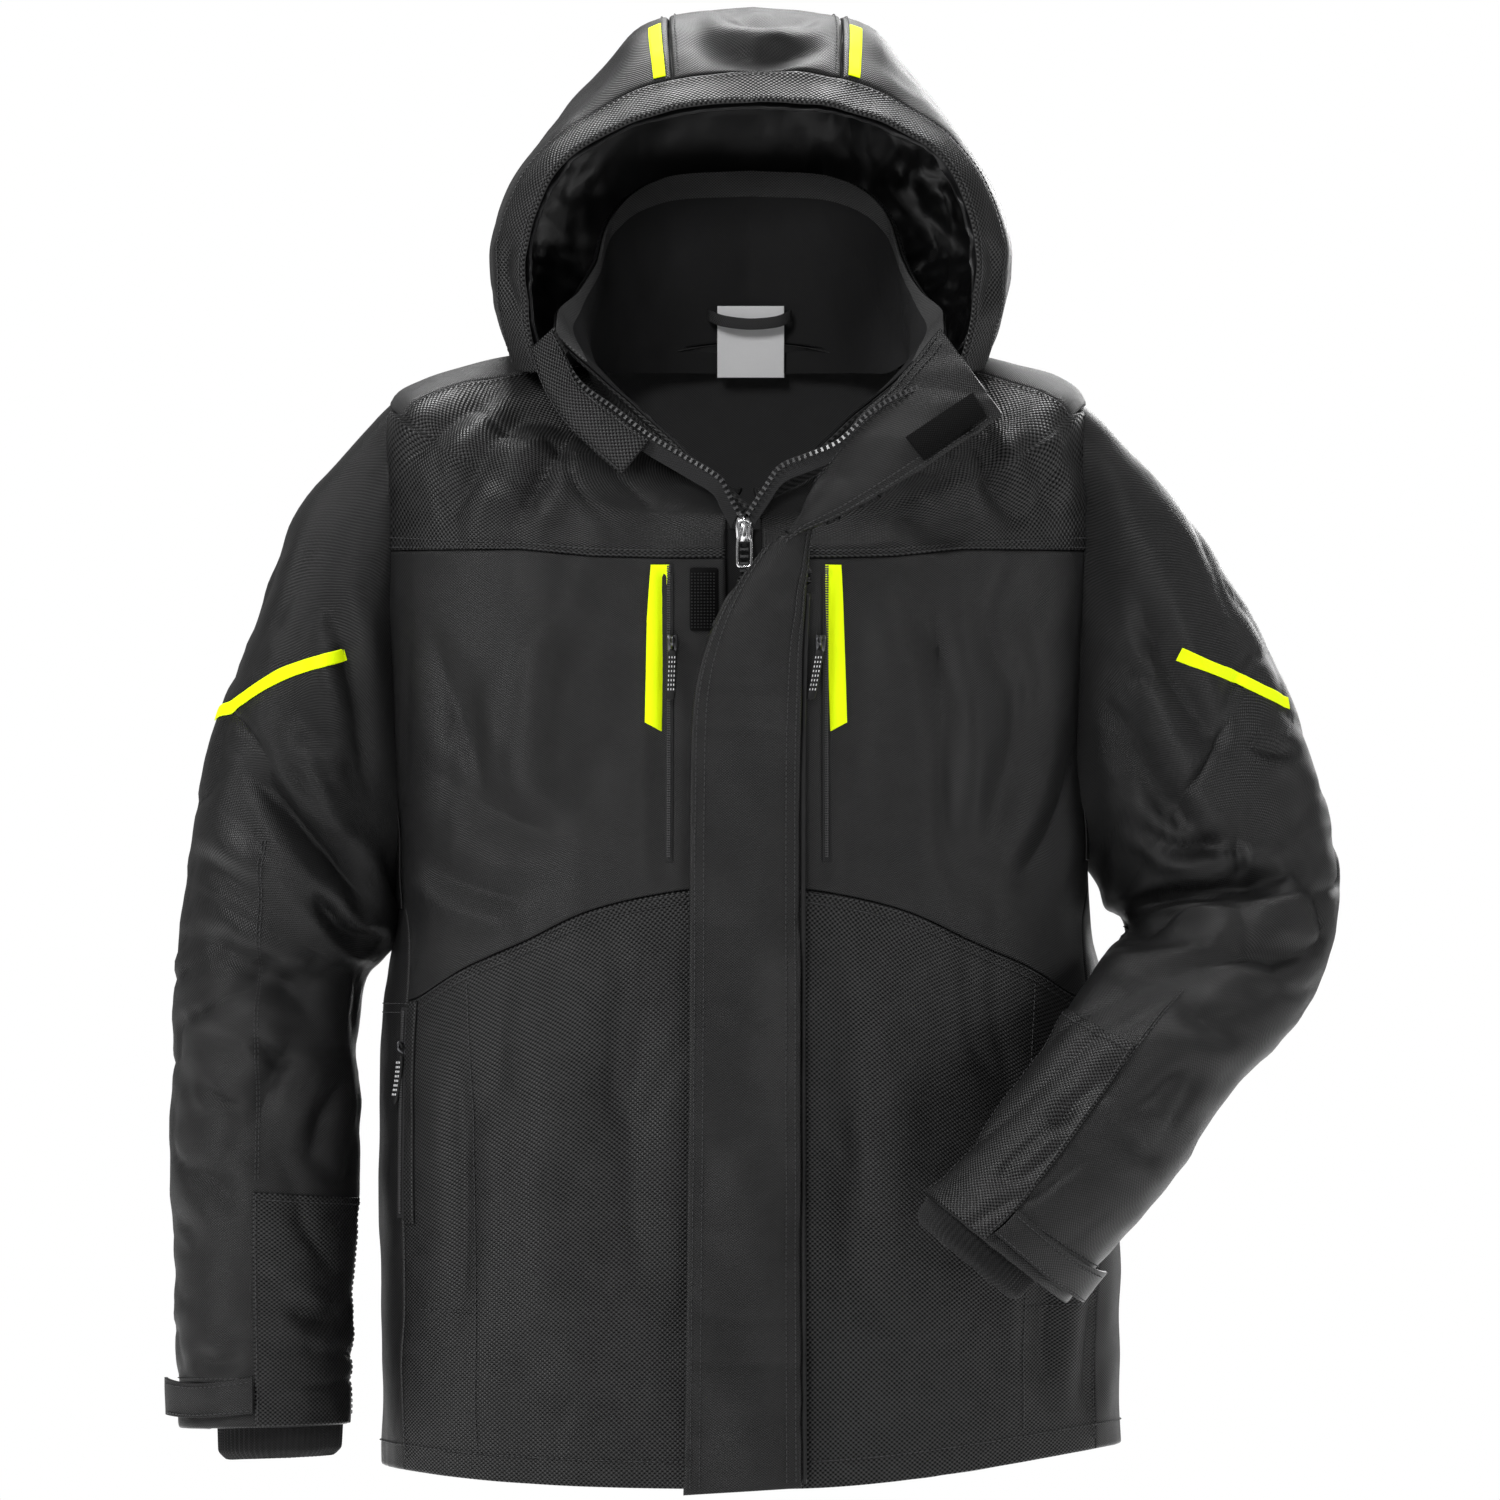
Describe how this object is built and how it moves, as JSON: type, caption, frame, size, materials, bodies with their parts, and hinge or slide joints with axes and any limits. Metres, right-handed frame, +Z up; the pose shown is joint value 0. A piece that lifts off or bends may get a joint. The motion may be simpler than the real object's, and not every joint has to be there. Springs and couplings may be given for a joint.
{
  "type": "hooded winter work coat",
  "caption": "Padded hooded work coat with a zip under a storm flap, chest and hand pockets, jointed sleeves with cuff tabs and a hang loop.",
  "frame": {"origin": "middle of the hang loop inside the neck", "axes": "+X to the wearer's left, -Y to the front, +Z up"},
  "size_m": [0.8182, 0.4139, 1.0377],
  "materials": {
    "shell_fabric": "matt plain weave",
    "coarse_fabric": "coarse ballistic weave",
    "lining_fabric": "smooth quilted taffeta",
    "yellow_trim": "high-visibility tape",
    "knit_fabric": "ribbed knit",
    "label_fabric": "woven label",
    "woven_tape": "woven tape",
    "hook_and_loop": "hook-and-loop pile",
    "zip_plastic": "moulded teeth",
    "zip_metal": "polished zinc alloy"
  },
  "bodies": {
    "torso": {"back_yoke": "coarse_fabric", "back_panel": "shell_fabric", "front_yoke_right": "coarse_fabric", "front_yoke_left": "coarse_fabric", "chest_panel_right": "shell_fabric", "chest_panel_left": "shell_fabric", "lower_panel_right": "coarse_fabric", "lower_panel_left": "coarse_fabric", "side_panel_right": "shell_fabric", "side_panel_left": "shell_fabric", "hem_facing": "lining_fabric", "body_lining": "lining_fabric", "collar_shell": "coarse_fabric", "collar_lining": "shell_fabric", "neck_label": "label_fabric", "hang_loop": "woven_tape", "zip_tape_right": "woven_tape", "zip_tape_left": "woven_tape", "zip_teeth_right": "zip_plastic", "zip_teeth_left": "zip_plastic", "zip_box": "zip_plastic", "flap_piping": "shell_fabric", "flap_top": "shell_fabric", "loop_patches": "hook_and_loop", "chest_stripes": "yellow_trim", "chest_zips": "woven_tape", "chest_pocket_bags": "lining_fabric", "hand_zips": "woven_tape", "hand_pocket_bags": "lining_fabric"},
    "hood": {"hood_centre": "shell_fabric", "hood_side_right": "shell_fabric", "hood_side_left": "shell_fabric", "hood_peak": "coarse_fabric", "hood_lining": "lining_fabric", "hood_stripes": "yellow_trim"},
    "storm_flap": {"storm_flap": "shell_fabric", "flap_hook_patches": "hook_and_loop"},
    "main_slider": {"main_slider": "zip_metal"},
    "main_pull": {"main_pull": "zip_metal"},
    "chest_slider_right": {"chest_slider_right": "zip_metal"},
    "chest_slider_left": {"chest_slider_left": "zip_metal"},
    "chest_pull_right": {"chest_pull_right": "woven_tape"},
    "chest_pull_left": {"chest_pull_left": "woven_tape"},
    "hand_slider_right": {"hand_slider_right": "zip_metal"},
    "hand_slider_left": {"hand_slider_left": "zip_metal"},
    "hand_pull_right": {"hand_pull_right": "woven_tape"},
    "hand_pull_left": {"hand_pull_left": "woven_tape"},
    "upper_arm_right": {"sleeve_upper_right": "shell_fabric", "sleeve_stripe_right": "yellow_trim"},
    "forearm_right": {"sleeve_lower_right": "shell_fabric", "wrist_patch_right": "coarse_fabric", "knit_cuff_right": "knit_fabric"},
    "cuff_tab_right": {"cuff_tab_right": "shell_fabric"},
    "upper_arm_left": {"sleeve_upper_left": "shell_fabric", "sleeve_stripe_left": "yellow_trim"},
    "forearm_left": {"sleeve_lower_left": "shell_fabric", "wrist_patch_left": "coarse_fabric", "knit_cuff_left": "knit_fabric"},
    "cuff_tab_left": {"cuff_tab_left": "shell_fabric"}
  },
  "joints": [
    {"name": "hood_fold", "type": "hinge", "parent": "torso", "child": "hood", "pos_m": [0, 0.067, -0.008], "axis": [-1, 0, 0], "range_deg": [0, 75]},
    {"name": "storm_flap_open", "type": "hinge", "parent": "torso", "child": "storm_flap", "pos_m": [0.037, -0.2025, -0.566], "axis": [0, 0, 1], "range_deg": [0, 90]},
    {"name": "main_zip_slide", "type": "slide", "parent": "torso", "child": "main_slider", "axis": [0, 0, -1], "range_m": [0, 0.61]},
    {"name": "main_pull_swing", "type": "hinge", "parent": "main_slider", "child": "main_pull", "pos_m": [-0.004, -0.1961, -0.144], "axis": [-1, 0, 0], "range_deg": [0, 35]},
    {"name": "chest_zip_slide_right", "type": "slide", "parent": "torso", "child": "chest_slider_right", "axis": [0, 0, -1], "range_m": [-0.045, 0.144]},
    {"name": "chest_pull_swing_right", "type": "hinge", "parent": "chest_slider_right", "child": "chest_pull_right", "pos_m": [-0.054, -0.1993, -0.226], "axis": [-1, 0, 0], "range_deg": [0, 100]},
    {"name": "chest_zip_slide_left", "type": "slide", "parent": "torso", "child": "chest_slider_left", "axis": [0, 0, -1], "range_m": [-0.045, 0.144]},
    {"name": "chest_pull_swing_left", "type": "hinge", "parent": "chest_slider_left", "child": "chest_pull_left", "pos_m": [0.049, -0.1993, -0.226], "axis": [-1, 0, 0], "range_deg": [0, 100]},
    {"name": "hand_zip_slide_right", "type": "slide", "parent": "torso", "child": "hand_slider_right", "axis": [0, 0, -1], "range_m": [0, 0.105]},
    {"name": "hand_pull_swing_right", "type": "hinge", "parent": "hand_slider_right", "child": "hand_pull_right", "pos_m": [-0.2445, -0.1316, -0.509], "axis": [-0.5299, 0.848, 0], "range_deg": [0, 80]},
    {"name": "hand_zip_slide_left", "type": "slide", "parent": "torso", "child": "hand_slider_left", "axis": [0, 0, -1], "range_m": [0, 0.105]},
    {"name": "hand_pull_swing_left", "type": "hinge", "parent": "hand_slider_left", "child": "hand_pull_left", "pos_m": [0.2445, -0.1316, -0.509], "axis": [-0.5299, -0.848, 0], "range_deg": [0, 20]},
    {"name": "sleeve_swing_right", "type": "hinge", "parent": "torso", "child": "upper_arm_right", "pos_m": [-0.254, -0.058, -0.056], "axis": [0, 1, 0], "range_deg": [0, 20]},
    {"name": "sleeve_swing_left", "type": "hinge", "parent": "torso", "child": "upper_arm_left", "pos_m": [0.254, -0.058, -0.056], "axis": [0, -1, 0], "range_deg": [0, 20]},
    {"name": "elbow_bend_right", "type": "hinge", "parent": "upper_arm_right", "child": "forearm_right", "pos_m": [-0.338, -0.132, -0.4775], "axis": [-1, 0, 0], "range_deg": [0, 50]},
    {"name": "elbow_bend_left", "type": "hinge", "parent": "upper_arm_left", "child": "forearm_left", "pos_m": [0.413, -0.08, -0.4], "axis": [0, 1, 0], "range_deg": [-35, 0]},
    {"name": "cuff_tab_lift_right", "type": "hinge", "parent": "forearm_right", "child": "cuff_tab_right", "pos_m": [-0.34872, -0.13536, -0.75676], "axis": [0, 0, 1], "range_deg": [0, 100]},
    {"name": "cuff_tab_lift_left", "type": "hinge", "parent": "forearm_left", "child": "cuff_tab_left", "pos_m": [0.17509, -0.31745, -0.63264], "axis": [-0.6329, -0.2857, -0.7196], "range_deg": [0, 100]}
  ]
}
